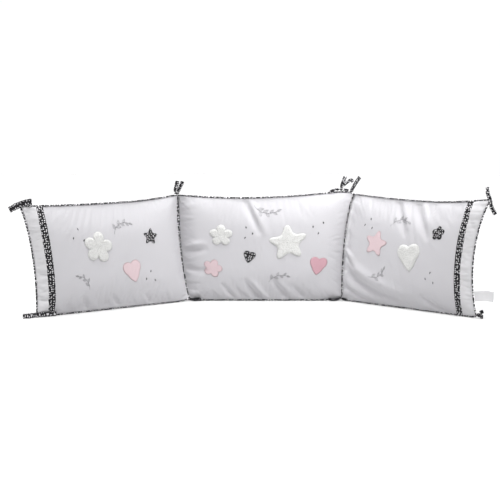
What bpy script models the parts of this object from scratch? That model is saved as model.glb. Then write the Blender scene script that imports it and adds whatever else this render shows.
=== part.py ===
"""Crib bumper in cloth: three filled panels, piped round their seams, that stand as an open U.

Metres, +Z up, floor at z = 0.  The origin is under the middle of the middle panel, where its piping rests.
X runs along the middle panel, and -Y points to the inside of the U, which is the decorated front.
On a panel, s runs 0 to 1 from its left end to its right, and v runs 0 to 1 from the bottom seam to the top.
"""

import math
from collections import namedtuple

import bmesh
import bpy
from mathutils import Vector

UP = Vector((0, 0, 1))

# Gaps and thin cloth
CLEARANCE = 0.0003  # between pieces that touch
SEWN_GAP = 0.0005  # under a piece sewn flat on a panel
CLOTH_THICKNESS = 0.001
TIE_THICKNESS = 0.0014  # a strip of cloth folded double

# Piping: a thin cord in a strip of cloth, sewn into the seam all round each panel
PIPING_RADIUS = 0.00225
PIPING_PRESSED = 0.0007  # how far the weight flattens the run that stands on the floor
SEAM_TO_PIPING = PIPING_RADIUS + CLEARANCE
SEAM_HEIGHT = PIPING_RADIUS - PIPING_PRESSED + SEAM_TO_PIPING
CORNER_STEPS = 3  # points of the piping round a corner

# Filling: how it rises from the seams
PUFF_REACH = 0.17
PUFF_POWER = 0.56
CORNER_REACH = 0.019  # how far along its seam a lifted or drooping corner is felt
TUCK_REACH = 0.03  # how far in from its end a panel is turned back
EAR_SHARPNESS = 8
COLUMNS = 20
ROWS = 12
CLOSER_AT_SEAMS = 0.72

# Band and end strip on the front of each outer panel: how far in from the end seam the band lies, and how
# much further in at the two corners, where the seam is pulled out
BAND_FELT = 0.20  # how far in from the end seam the grid follows the band
Band = namedtuple("Band", "panel width inset more_at_top more_at_foot")
BANDS = (
    Band("left", 0.026, 0.037, 0.016, 0.000),
    Band("right", 0.0245, 0.0385, 0.022, 0.012),
)

# Sewn shapes
PLUSH_THICKNESS = 0.0045
MOTIF_SECTORS = 20
MOTIF_RINGS = 2

# Label: where it is held on the right end seam, and its middle line in the panel's own steps from there
LABEL_HEIGHT = 0.035
LABEL_V = 0.17
LABEL_PATH = ((0.0017, 0.000, 0.0002), (0.026, 0.003, 0.004), (0.050, -0.001, 0.006), (0.074, -0.004, 0.005))

# One row for each end seam, from its foot on the floor plan to its top.  bow draws its middle in and ear
# pulls its top corner out; tuck turns its middle back behind the neighbour; reach is how far in the filling
# takes to stand full; droop lowers the top corner and lift raises the bottom one.
End = namedtuple("End", "foot_x foot_y top_x top_y ear bow tuck reach height droop lift")
Panel = namedtuple("Panel", "name left right crown sag sag_at")
PANELS = (
    Panel("left",
          End(-0.777, -0.364, -0.815, -0.390, 0.006, 0.015, 0.000, 0.17, 0.379, 0.000, 0.004),
          End(-0.280, -0.0085, -0.322, -0.0085, 0.004, 0.006, 0.012, 0.08, 0.392, 0.004, 0.008),
          crown=0.026, sag=0.013, sag_at=0.68),
    Panel("middle",
          End(-0.286, 0.000, -0.316, 0.000, 0.002, -0.008, 0.016, 0.10, 0.390, 0.002, 0.003),
          End(0.282, 0.000, 0.312, 0.000, 0.010, 0.008, 0.000, 0.12, 0.408, 0.015, 0.011),
          crown=0.027, sag=0.019, sag_at=0.46),
    Panel("right",
          End(0.284, 0.0095, 0.320, 0.0115, 0.002, -0.021, 0.010, 0.10, 0.394, 0.004, 0.005),
          End(0.709, -0.378, 0.737, -0.402, 0.008, 0.030, -0.008, 0.17, 0.402, 0.000, 0.003),
          crown=0.026, sag=0.016, sag_at=0.58),
)

# The main hollows of the cloth, each a soft trough between two points of a panel's front
Fold = namedtuple("Fold", "panel from_s from_v to_s to_v width depth")
FOLDS = (
    Fold("middle", 0.395, 1.00, 0.450, 0.76, 0.020, 0.005),
    Fold("middle", 0.300, 0.10, 0.340, 0.00, 0.016, 0.004),
    Fold("middle", 0.430, 0.13, 0.510, 0.00, 0.018, 0.005),
    Fold("middle", 0.600, 0.14, 0.680, 0.00, 0.018, 0.005),
    Fold("right", 0.030, 0.28, 0.360, 0.02, 0.026, 0.007),
    Fold("right", 0.480, 0.97, 0.520, 0.72, 0.018, 0.004),
    Fold("right", 0.600, 0.97, 0.640, 0.70, 0.018, 0.004),
    Fold("left", 0.420, 0.12, 0.520, 0.00, 0.018, 0.004),
)

# Shapes sewn on the fronts: where each sits, its size across and how far it is turned
Motif = namedtuple("Motif", "name panel outline s v radius turn cloth")
MOTIFS = (
    Motif("flower_plush", "left", "flower", 0.400, 0.60, 0.056, 10, "plush"),
    Motif("heart_pink", "left", "heart", 0.610, 0.36, 0.046, -12, "pink"),
    Motif("star_spotted", "left", "star", 0.760, 0.66, 0.029, 8, "spotted"),
    Motif("star_plush_large", "middle", "star", 0.655, 0.56, 0.066, -6, "plush"),
    Motif("flower_plush_small", "middle", "flower", 0.250, 0.64, 0.040, 0, "plush"),
    Motif("heart_spotted", "middle", "heart", 0.420, 0.44, 0.026, 14, "spotted"),
    Motif("flower_pink", "middle", "flower", 0.190, 0.32, 0.034, 20, "pink"),
    Motif("heart_pink_large", "middle", "heart", 0.845, 0.34, 0.038, 10, "pink"),
    Motif("heart_plush", "right", "heart", 0.560, 0.50, 0.058, -8, "plush"),
    Motif("star_pink", "right", "star", 0.300, 0.58, 0.048, 10, "pink"),
    Motif("flower_spotted", "right", "flower", 0.745, 0.72, 0.025, 0, "spotted"),
)

# Ties: the middle line of each strip, in steps from the corner that holds it.  A step goes along its panel,
# out of the panel's front, and up.
Tie = namedtuple("Tie", "name panel end level width path")
TIES = (
    Tie("tie_left_top", "left", "left", "top", 0.022,
        ((-0.042, 0.003, -0.009), (-0.019, 0.005, 0.002), (0.000, 0.0037, 0.008), (0.018, 0.005, 0.013),
         (0.039, 0.004, 0.015))),
    Tie("tie_left_foot", "left", "left", "foot", 0.017,
        ((-0.055, 0.004, 0.0015), (-0.028, 0.006, 0.0010), (0.000, 0.0037, 0.0012), (0.034, 0.0092, 0.0010),
         (0.066, 0.0125, 0.0010))),
    Tie("tie_join_left_top_a", "middle", "left", "top", 0.014,
        ((-0.011, 0.0055, 0.0145), (-0.009, 0.007, 0.026), (-0.005, 0.006, 0.040), (-0.002, 0.003, 0.054))),
    Tie("tie_join_left_top_b", "middle", "left", "top", 0.014,
        ((0.000, 0.002, 0.0138), (0.005, 0.003, 0.026), (0.012, 0.001, 0.040), (0.017, 0.003, 0.053))),
    Tie("tie_join_left_foot_a", "middle", "left", "foot", 0.013,
        ((0.0212, 0.008, 0.0004), (0.030, 0.014, 0.0004), (0.040, 0.012, 0.0004), (0.051, 0.018, 0.0004))),
    Tie("tie_join_left_foot_b", "middle", "left", "foot", 0.011,
        ((0.0148, 0.0130, -0.0005), (0.024, 0.019, -0.0008), (0.036, 0.017, -0.0010))),
    Tie("tie_join_right_top_a", "middle", "right", "top", 0.010,
        ((-0.0506, 0.000, 0.0183), (-0.068, 0.003, 0.0167), (-0.086, 0.005, 0.0092))),
    Tie("tie_join_right_top_b", "middle", "right", "top", 0.014,
        ((-0.0432, 0.0005, 0.0232), (-0.039, 0.003, 0.040), (-0.029, 0.001, 0.066))),
    Tie("tie_join_right_top_c", "middle", "right", "top", 0.011,
        ((-0.0375, 0.0047, 0.031), (-0.022, 0.0065, 0.045), (-0.008, 0.006, 0.053), (-0.002, 0.005, 0.045))),
    Tie("tie_join_right_top_d", "middle", "right", "top", 0.010,
        ((-0.0367, 0.0024, 0.0175), (-0.027, 0.0042, 0.0165), (-0.017, 0.0052, 0.0136))),
    Tie("tie_join_right_top_e", "right", "left", "top", 0.015,
        ((-0.003, 0.0037, 0.001), (0.006, 0.005, 0.022), (0.022, 0.004, 0.046), (0.038, 0.002, 0.067))),
    Tie("tie_join_right_foot_a", "middle", "right", "foot", 0.010,
        ((-0.0068, 0.0063, -0.0058), (-0.018, 0.012, -0.0092), (-0.034, 0.018, -0.0094),
         (-0.048, 0.012, -0.0075))),
    Tie("tie_join_right_foot_b", "middle", "right", "foot", 0.010,
        ((0.0028, 0.0063, -0.0060), (0.012, 0.010, -0.0092), (0.019, 0.013, -0.0094))),
    Tie("tie_right_top", "right", "right", "top", 0.015,
        ((-0.010, 0.003, 0.043), (-0.006, 0.006, 0.022), (0.001, 0.0037, 0.004), (0.010, 0.007, -0.022),
         (0.023, 0.004, -0.047))),
    Tie("tie_right_foot_a", "right", "right", "foot", 0.014,
        ((0.0187, 0.0012, 0.0036), (0.0235, 0.005, 0.0014), (0.030, 0.003, 0.0012))),
    Tie("tie_right_foot_b", "right", "right", "foot", 0.013,
        ((0.0157, -0.0014, 0.0114), (0.0205, -0.0008, 0.0150), (0.0275, -0.002, 0.0185))),
)

# Knots: where strips are tied, in steps from the same corners, and half the size of each
Knot = namedtuple("Knot", "name panel end level along front up half_x half_y half_z")
KNOTS = (
    Knot("knot_join_left_top", "middle", "left", "top", -0.0045, 0.0035, 0.0091, 0.0105, 0.0055, 0.0045),
    Knot("knot_join_left_foot", "middle", "left", "foot", 0.0148, 0.0084, 0.0000, 0.0056, 0.004, 0.0062),
    Knot("knot_join_right_top", "middle", "right", "top", -0.0435, 0.000, 0.0176, 0.0065, 0.0045, 0.005),
    Knot("knot_join_right_foot", "middle", "right", "foot", -0.002, 0.0063, -0.0050, 0.004, 0.004, 0.004),
    Knot("knot_right_foot", "right", "right", "foot", 0.0112, 0.000, 0.0045, 0.0072, 0.0055, 0.0078),
)


def panel_named(name):
    return next(panel for panel in PANELS if panel.name == name)


def panel_directions(panel):
    """Unit vectors along a panel, left to right, and out of its front."""
    run_x = panel.right.foot_x - panel.left.foot_x
    run_y = panel.right.foot_y - panel.left.foot_y
    along = Vector((run_x, run_y, 0)).normalized()
    return along, Vector((along.y, -along.x, 0))


def panel_length(panel):
    return math.hypot(panel.right.foot_x - panel.left.foot_x, panel.right.foot_y - panel.left.foot_y)


def end_seam(end, outward, v):
    """The point v of the way up an end seam, on the floor plan."""
    arch = 4 * v * (1 - v)
    line = Vector((end.foot_x, end.foot_y, 0)).lerp(Vector((end.top_x, end.top_y, 0)), v)
    return line + outward * (end.ear * v ** EAR_SHARPNESS - end.bow * arch)


def at_corner(distance):
    return math.exp(-distance / CORNER_REACH)


def sagged(panel, s):
    """How far the top seam hangs under the line between its corners."""
    reach = panel.sag_at if s < panel.sag_at else 1 - panel.sag_at
    return panel.sag * (1 - ((s - panel.sag_at) / reach) ** 2)


def seam_surface(panel, s, v):
    """The surface midway through a panel, which its seams lie in."""
    along, front = panel_directions(panel)
    left, right, length = panel.left, panel.right, panel_length(panel)
    from_left, from_right = at_corner(s * length), at_corner((1 - s) * length)
    point = end_seam(left, -along, v).lerp(end_seam(right, along, v), s)
    tuck = left.tuck * math.exp(-s * length / TUCK_REACH)
    tuck += right.tuck * math.exp((s - 1) * length / TUCK_REACH)
    point -= front * tuck * math.sqrt(4 * v * (1 - v))
    low = SEAM_HEIGHT + left.lift * from_left + right.lift * from_right
    high = left.height + (right.height - left.height) * s - sagged(panel, s)
    high -= left.droop * from_left + right.droop * from_right
    point.z = low + (high - low) * v
    return point


def filled(distance, reach):
    """How full the filling stands at a distance from a seam: 0 on it and 1 from reach on."""
    short = 1 - min(distance / reach, 1)
    return (1 - short * short) ** PUFF_POWER


def fold_depth(panel, s, v):
    """How deep the folds cut into the front at a point."""
    length, height = panel_length(panel), panel.left.height
    depth = 0
    for fold in FOLDS:
        if fold.panel != panel.name:
            continue
        start = Vector((fold.from_s * length, fold.from_v * height))
        run = Vector((fold.to_s * length, fold.to_v * height)) - start
        reach = Vector((s * length, v * height)) - start
        share = min(max(reach.dot(run) / run.length_squared, 0), 1)
        depth += fold.depth * math.exp(-((reach - run * share).length / fold.width) ** 2)
    return depth


def half_thickness(panel, s, v, side):
    length, height = panel_length(panel), panel.left.height
    fullness = filled(s * length, panel.left.reach) * filled((1 - s) * length, panel.right.reach)
    fullness *= filled(v * height, PUFF_REACH) * filled((1 - v) * height, PUFF_REACH)
    hollow = fold_depth(panel, s, v) if side > 0 else 0
    return (panel.crown - hollow) * fullness


def cloth_point(panel, s, v, side=1, proud=0):
    """A point of the front cloth (side 1) or the back cloth (side -1), or proud of it."""
    front = panel_directions(panel)[1]
    return seam_surface(panel, s, v) + front * side * (half_thickness(panel, s, v, side) + proud)


def closer_at_ends(count):
    """Values from 0 to 1, closer together near 0 and 1."""
    steps = [index / count for index in range(count + 1)]
    return [t - CLOSER_AT_SEAMS * math.sin(2 * math.pi * t) / (2 * math.pi) for t in steps]


def band_of(panel):
    """The band of an outer panel, or None."""
    return next((band for band in BANDS if band.panel == panel.name), None)


def band_edges(panel):
    """Where the band of an outer panel starts and stops half way up, outer edge first."""
    band = band_of(panel)
    near = band.inset / panel_length(panel)
    far = (band.inset + band.width) / panel_length(panel)
    return (near, far) if panel.name == "left" else (1 - near, 1 - far)


def panel_columns(panel):
    """The columns of a panel's grid, with one on each edge of its band."""
    columns = closer_at_ends(COLUMNS)
    if band_of(panel):
        for edge in band_edges(panel):
            nearest = min(range(1, COLUMNS), key=lambda index: abs(columns[index] - edge))
            columns[nearest] = edge
    return columns


def column_at(panel, s, v):
    """Where the column s of a panel's grid stands at v, since the columns beside a band follow it."""
    band = band_of(panel)
    if not band:
        return s
    length = panel_length(panel)
    distance = s * length if panel.name == "left" else (1 - s) * length
    more = band.more_at_top * v ** EAR_SHARPNESS + band.more_at_foot * (1 - v) ** EAR_SHARPNESS
    beyond = (BAND_FELT - distance) / (BAND_FELT - band.inset - band.width)
    move = more * max(min(distance / band.inset, 1, beyond), 0) / length
    return s + move if panel.name == "left" else s - move


def new_material(name, color, roughness):
    material = bpy.data.materials.new(name)
    material.use_nodes = True
    shader = material.node_tree.nodes["Principled BSDF"]
    shader.inputs["Base Color"].default_value = (*color, 1)
    shader.inputs["Roughness"].default_value = roughness
    shader.inputs["Metallic"].default_value = 0
    return material


def new_object(name, mesh, material, collection):
    part = bpy.data.objects.new(name, mesh)
    mesh.materials.clear()
    mesh.materials.append(material)
    collection.objects.link(part)
    return part


def mesh_object(name, shape, material, collection, turned_out=False):
    """An object from a bmesh, shaded smooth, its faces turned to point out unless they do already."""
    if not turned_out:
        bmesh.ops.recalc_face_normals(shape, faces=shape.faces)
    mesh = bpy.data.meshes.new(name)
    shape.to_mesh(mesh)
    shape.free()
    mesh.shade_smooth()
    return new_object(name, mesh, material, collection)


def add_sheet(shape, columns, rows, place):
    """A grid of cloth whose points are place(column, row)."""
    made = bmesh.ops.create_grid(shape, x_segments=len(columns) - 1, y_segments=len(rows) - 1, size=1)
    for vertex in made["verts"]:
        column = round((vertex.co.x + 1) / 2 * (len(columns) - 1))
        row = round((vertex.co.y + 1) / 2 * (len(rows) - 1))
        vertex.co = place(columns[column], rows[row])
    return made["verts"]


def thicken(shape, move):
    """Turn the open sheet in shape into a closed solid whose far side is moved by move."""
    made = bmesh.ops.extrude_face_region(shape, geom=shape.faces[:])
    moved = [item for item in made["geom"] if isinstance(item, bmesh.types.BMVert)]
    bmesh.ops.translate(shape, vec=move, verts=moved)


def make_panel(panel, material, collection):
    """The front cloth and the back cloth of a filled panel, joined along the seam."""
    shape = bmesh.new()
    columns, rows = panel_columns(panel), closer_at_ends(ROWS)
    add_sheet(shape, columns, rows, lambda s, v: cloth_point(panel, column_at(panel, s, v), v, side=-1))
    bmesh.ops.reverse_faces(shape, faces=shape.faces)
    add_sheet(shape, columns, rows, lambda s, v: cloth_point(panel, column_at(panel, s, v), v, side=1))
    bmesh.ops.remove_doubles(shape, verts=shape.verts, dist=0.00001)
    return mesh_object(f"panel_{panel.name}", shape, material, collection, turned_out=True)


def seam_round(panel):
    """The points of a panel's seam in order, each with the way outward from the panel."""
    front = panel_directions(panel)[1]
    columns, rows = panel_columns(panel), closer_at_ends(ROWS)
    sides = (
        [(column_at(panel, s, 0), 0) for s in columns],
        [(1, v) for v in rows],
        [(column_at(panel, s, 1), 1) for s in reversed(columns)],
        [(0, v) for v in reversed(rows)],
    )
    for side in sides:
        points = [seam_surface(panel, s, v) for s, v in side]
        for index, point in enumerate(points):
            ahead = points[min(index + 1, len(points) - 1)]
            behind = points[max(index - 1, 0)]
            yield point, (ahead - behind).cross(front).normalized()


def piping_path(panel):
    """The middle of the piping: the seam moved outward, with a short arc round each corner."""
    seam = list(seam_round(panel))
    path = []
    for index, (point, outward) in enumerate(seam):
        before_point, before_outward = seam[index - 1]
        if (before_point - point).length < CLEARANCE:
            turn = before_outward.rotation_difference(outward)
            for step in range(1, CORNER_STEPS):
                swing = turn.copy()
                swing.angle = turn.angle * step / CORNER_STEPS
                path.append(point + swing @ before_outward * SEAM_TO_PIPING)
        path.append(point + outward * SEAM_TO_PIPING)
    return path


def make_piping(panel, material, collection, floor):
    """A cord round a panel's seam, pressed flat where it stands on the floor."""
    path = piping_path(panel)
    curve = bpy.data.curves.new(f"piping_{panel.name}", "CURVE")
    curve.dimensions = "3D"
    curve.bevel_depth = PIPING_RADIUS
    curve.bevel_resolution = 1
    line = curve.splines.new("POLY")
    line.points.add(len(path) - 1)
    for knot, point in zip(line.points, path):
        knot.co = (*point, 1)
    line.use_cyclic_u = True
    cord = bpy.data.objects.new(curve.name, curve)
    collection.objects.link(cord)
    seen = cord.evaluated_get(bpy.context.evaluated_depsgraph_get())
    mesh = bpy.data.meshes.new_from_object(seen)
    bpy.data.objects.remove(cord)
    shape = bmesh.new()
    shape.from_mesh(mesh)
    bmesh.ops.remove_doubles(shape, verts=shape.verts, dist=0.00001)
    piping = mesh_object(f"piping_{panel.name}", shape, material, collection)
    press = piping.modifiers.new("Flat on the floor", "BOOLEAN")
    press.operation = "DIFFERENCE"
    press.solver = "EXACT"
    press.object = floor
    return piping


def make_floor_block(collection):
    """What the piping is pressed against: a block with its top at z = 0."""
    bpy.ops.mesh.primitive_cube_add(size=2, location=(0, 0, -1))
    block = bpy.context.active_object
    block.name = "floor_block"
    block.hide_render = True
    block.display_type = "WIRE"
    for owner in block.users_collection:
        owner.objects.unlink(block)
    collection.objects.link(block)
    return block


def make_skin(name, panel, edges, material, collection):
    """A strip of cloth sewn flat on a panel's front, nearly from one column of its grid to another."""
    columns = panel_columns(panel)
    first, last = sorted(columns.index(edge) for edge in edges)
    columns = columns[first:last + 1]
    columns[0] += CLEARANCE / 2 / panel_length(panel)
    columns[-1] -= CLEARANCE / 2 / panel_length(panel)
    shape = bmesh.new()

    def place(s, v):
        return cloth_point(panel, column_at(panel, s, v), v, proud=SEWN_GAP)

    add_sheet(shape, columns, closer_at_ends(ROWS), place)
    thicken(shape, panel_directions(panel)[1] * CLOTH_THICKNESS)
    return mesh_object(name, shape, material, collection)


def outline_reach(outline, angle):
    """How far a shape of radius 1 reaches at an angle from straight up."""
    if outline == "star":
        return 0.76 + 0.20 * math.cos(5 * angle) + 0.04 * math.cos(10 * angle)
    if outline == "flower":
        return 0.58 + 0.42 * abs(math.cos(2.5 * angle)) ** 0.7
    side = abs((angle + math.pi) % (2 * math.pi) - math.pi) / math.pi
    return 0.56 + 0.50 * math.sin(math.pi * min(side * 1.45, 1)) ** 1.3 * (1 - side) + 0.44 * side ** 5


def make_motif(motif, material, collection):
    """A shape sewn on a panel's front: rings about its middle, on the cloth."""
    panel = panel_named(motif.panel)
    length, height = panel_length(panel), panel.left.height
    thickness = PLUSH_THICKNESS if motif.cloth == "plush" else CLOTH_THICKNESS
    shape = bmesh.new()
    bmesh.ops.create_circle(shape, cap_ends=True, cap_tris=True, segments=MOTIF_SECTORS, radius=1)
    spokes = [edge for edge in shape.edges if not edge.is_boundary]
    bmesh.ops.subdivide_edges(shape, edges=spokes, cuts=MOTIF_RINGS - 1)
    for vertex in shape.verts:
        angle = math.atan2(vertex.co.x, vertex.co.y)
        reach = vertex.co.to_2d().length * outline_reach(motif.outline, angle) * motif.radius
        angle += math.radians(motif.turn)
        s = motif.s + reach * math.sin(angle) / length
        v = motif.v + reach * math.cos(angle) / height
        vertex.co = cloth_point(panel, s, v, proud=SEWN_GAP)
    thicken(shape, panel_directions(panel)[1] * thickness)
    return mesh_object(motif.name, shape, material, collection)


def smooth_through(points, steps):
    """Points on a smooth curve through the given ones, with steps to each stretch."""
    line = [Vector(point) for point in points]
    padded = [2 * line[0] - line[1], *line, 2 * line[-1] - line[-2]]
    curve = []
    for before, start, stop, after in zip(padded, padded[1:], padded[2:], padded[3:]):
        for step in range(steps):
            t = step / steps
            bend = (2 * before - 5 * start + 4 * stop - after) * t * t
            twist = (3 * start - before - 3 * stop + after) * t * t * t
            curve.append(start + ((stop - before) * t + bend + twist) / 2)
    return [*curve, line[-1]]


def held_point(panel, corner, step):
    """A point at a step along, out of the front of and up a panel from a corner of it."""
    along, front = panel_directions(panel)
    return corner + along * step[0] + front * step[1] + UP * step[2]


def make_strip(name, path, front, width, thickness, material, collection):
    """A flat strip along a smooth path, its flat side turned to the front."""
    line = smooth_through(path, 2)
    shape = bmesh.new()

    def place(index, across):
        run = line[min(index + 1, len(line) - 1)] - line[max(index - 1, 0)]
        return line[index] + run.cross(front).normalized() * across

    add_sheet(shape, list(range(len(line))), [-width / 2, width / 2], place)
    strip = mesh_object(name, shape, material, collection)
    solid = strip.modifiers.new("Cloth", "SOLIDIFY")
    solid.thickness = thickness
    solid.offset = 0
    return strip


def held_corner(held):
    """The panel that holds a tie or a knot, and the corner of it that does."""
    panel = panel_named(held.panel)
    return panel, seam_surface(panel, 0 if held.end == "left" else 1, 1 if held.level == "top" else 0)


def make_tie(tie, material, collection):
    panel, corner = held_corner(tie)
    path = [held_point(panel, corner, step) for step in tie.path]
    front = panel_directions(panel)[1]
    return make_strip(tie.name, path, front, tie.width, TIE_THICKNESS, material, collection)


def make_knot(knot, material, collection):
    panel, corner = held_corner(knot)
    middle = held_point(panel, corner, (knot.along, knot.front, knot.up))
    shape = bmesh.new()
    bmesh.ops.create_uvsphere(shape, u_segments=8, v_segments=5, radius=1)
    bmesh.ops.scale(shape, vec=(knot.half_x, knot.half_y, knot.half_z), verts=shape.verts)
    bmesh.ops.translate(shape, vec=middle, verts=shape.verts)
    return mesh_object(knot.name, shape, material, collection)


def make_label(material, collection):
    """A blank strip sewn into the right end seam."""
    panel = panel_named("right")
    along, front = panel_directions(panel)
    start = seam_surface(panel, 1, LABEL_V) + along * (SEAM_TO_PIPING + PIPING_RADIUS + CLEARANCE)
    path = [held_point(panel, start, step) for step in LABEL_PATH]
    return make_strip("label", path, front, LABEL_HEIGHT, CLOTH_THICKNESS, material, collection)


def build():
    for old in list(bpy.data.objects):
        bpy.data.objects.remove(old)
    bumper = bpy.data.collections.new("crib_bumper")
    cutters = bpy.data.collections.new("cutters")
    bpy.context.scene.collection.children.link(bumper)
    bpy.context.scene.collection.children.link(cutters)
    cloths = {
        "shell": new_material("shell", (0.72, 0.71, 0.75), 0.45),
        "strip": new_material("end_strip", (0.84, 0.84, 0.86), 0.5),
        "spotted": new_material("spotted", (0.03, 0.03, 0.035), 0.7),
        "plush": new_material("plush", (0.86, 0.86, 0.84), 0.95),
        "pink": new_material("pink", (0.83, 0.66, 0.68), 0.7),
        "label": new_material("label", (0.88, 0.88, 0.90), 0.5),
    }
    floor = make_floor_block(cutters)
    for panel in PANELS:
        make_panel(panel, cloths["shell"], bumper)
        make_piping(panel, cloths["spotted"], bumper, floor)
    for panel in (PANELS[0], PANELS[-1]):
        outer, inner = band_edges(panel)
        seam = 0 if panel.name == "left" else 1
        make_skin(f"band_{panel.name}", panel, (outer, inner), cloths["spotted"], bumper)
        make_skin(f"end_strip_{panel.name}", panel, (seam, outer), cloths["strip"], bumper)
    for motif in MOTIFS:
        make_motif(motif, cloths[motif.cloth], bumper)
    for tie in TIES:
        make_tie(tie, cloths["spotted"], bumper)
    for knot in KNOTS:
        make_knot(knot, cloths["spotted"], bumper)
    make_label(cloths["label"], bumper)


build()
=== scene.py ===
"""The looks of the crib bumper: filled panels, spotted piping, bands and ties, and sewn-on shapes.

Metres, +Z up, in the frame of the CAD model.  A place on a panel is s, 0 to 1 from its left end to its
right, and v, 0 to 1 from its bottom seam to its top.  A step on a panel is in metres along it, out of its
front, and up.
"""

import math
from collections import namedtuple
from functools import partial
from itertools import chain

import bmesh
import bpy
import numpy as np
from mathutils import Matrix, Vector, noise
from mathutils.bvhtree import BVHTree


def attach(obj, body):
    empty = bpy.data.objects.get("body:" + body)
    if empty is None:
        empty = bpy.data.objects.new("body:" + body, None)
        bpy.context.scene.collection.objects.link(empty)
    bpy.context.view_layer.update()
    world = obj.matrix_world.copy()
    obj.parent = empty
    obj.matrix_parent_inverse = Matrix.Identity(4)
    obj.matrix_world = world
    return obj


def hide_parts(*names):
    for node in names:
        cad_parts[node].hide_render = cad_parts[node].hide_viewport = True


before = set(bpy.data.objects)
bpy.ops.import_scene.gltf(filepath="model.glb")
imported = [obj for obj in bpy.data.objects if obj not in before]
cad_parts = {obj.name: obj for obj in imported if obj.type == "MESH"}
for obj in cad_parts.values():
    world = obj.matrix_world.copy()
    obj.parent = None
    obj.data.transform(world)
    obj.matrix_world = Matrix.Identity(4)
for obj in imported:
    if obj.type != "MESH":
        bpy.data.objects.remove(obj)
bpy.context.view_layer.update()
scene = bpy.context.scene

UP = Vector((0, 0, 1))
SIDES = (1, -1)  # the front of a panel and its back


def of_panels(kind, **tables):
    """A table of rows of one kind for each panel."""
    return {panel: [kind(*row) for row in rows] for panel, rows in tables.items()}


def new_object(name, data):
    """An object in the scene with the mesh, lamp or camera that it is given."""
    made = bpy.data.objects.new(name, data)
    scene.collection.objects.link(made)
    return made


# ---------------------------------------------------------------- the panels, as the CAD has them

PIPING_RADIUS = 0.00235
PIPING_INSET = 0.0006  # how far the cord is drawn in over the seam
SEAM_TO_PIPING = 0.00255
SEAM_HEIGHT = 0.0041
PUFF_REACH = 0.17
PUFF_POWER = 0.56
CORNER_REACH = 0.019
TUCK_REACH = 0.03
EAR_SHARPNESS = 8

End = namedtuple("End", "foot_x foot_y top_x top_y ear bow tuck reach height droop lift")
Panel = namedtuple("Panel", "name left right crown sag sag_at")
PANELS = (
    Panel("left",
          End(-0.777, -0.364, -0.815, -0.390, 0.006, 0.015, 0.000, 0.17, 0.379, 0.000, 0.004),
          End(-0.280, -0.0085, -0.322, -0.0085, 0.004, 0.006, 0.012, 0.08, 0.392, 0.004, 0.008),
          crown=0.026, sag=0.013, sag_at=0.68),
    Panel("middle",
          End(-0.286, 0.000, -0.316, 0.000, 0.002, -0.008, 0.016, 0.10, 0.390, 0.002, 0.003),
          End(0.282, 0.000, 0.312, 0.000, 0.010, 0.008, 0.000, 0.12, 0.408, 0.015, 0.011),
          crown=0.027, sag=0.019, sag_at=0.46),
    Panel("right",
          End(0.284, 0.0095, 0.320, 0.0115, 0.002, -0.021, 0.010, 0.10, 0.394, 0.004, 0.005),
          End(0.709, -0.378, 0.737, -0.402, 0.008, 0.030, -0.008, 0.17, 0.402, 0.000, 0.003),
          crown=0.026, sag=0.016, sag_at=0.58),
)

# The band near the end of each outer panel, and how much further in it lies at the panel's corners
Band = namedtuple("Band", "panel width inset more_at_top more_at_foot")
BANDS = (
    Band("left", 0.026, 0.037, 0.016, 0.000),
    Band("right", 0.0245, 0.0385, 0.022, 0.012),
)

# ---------------------------------------------------------------- the cloth of the panels

CELL = 0.0046  # the side of a cell of the cloth that is simulated
START_FULL = 0.88  # how full the panels are when the simulation starts
RIPPLES = 45  # a metre, in the cloth at the start
RIPPLE_DEPTH = 0.0012
FRAMES = 22
CLOTH_SETTINGS = {
    "quality": 5, "mass": 0.2,
    "tension_stiffness": 12, "compression_stiffness": 12, "shear_stiffness": 8, "bending_stiffness": 0.35,
    "use_pressure": True, "uniform_pressure_force": 4.0, "vertex_group_mass": "seam",
    "vertex_group_shrink": "slack", "shrink_min": -0.004, "shrink_max": -0.075,
}
PUCKER_GAIN = 1.4
SWELL_KEPT = 0.25  # the share of the slow swelling that is kept
MOVE_CAP = 0.012
SMOOTHINGS = 160
ROOM_REACH = 0.012  # how far in from the seam the cloth is free to crease
BACK_UV_STEP = 1.0  # how far beside the front the back lies in UV
RAY_REACH = 0.02  # how far off the front a ray to the cloth starts
FAR_HIT = 0.004  # a ray that ends further than this from where it is aimed has missed
STEEP = 0.2  # under this the cloth turns away from the front, as it does at its seam

# Where the cloth is slack and puckers against its seam: middle, reach and strength
Slack = namedtuple("Slack", "s v reach_s reach_v share")
SLACKS = of_panels(
    Slack,
    left=(
        (0.45, 0.00, 0.30, 0.20, 0.8),
        (0.00, 0.30, 0.10, 0.35, 0.5),
        (1.00, 0.30, 0.12, 0.40, 0.4),
    ),
    middle=(
        (0.50, 0.00, 0.45, 0.22, 1.0),
        (0.00, 0.45, 0.14, 0.40, 0.9),
        (0.42, 1.00, 0.12, 0.25, 0.5),
    ),
    right=(
        (0.45, 1.00, 0.35, 0.25, 1.0),
        (0.00, 0.25, 0.25, 0.35, 1.0),
        (0.70, 0.00, 0.25, 0.20, 0.6),
    ),
)

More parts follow.
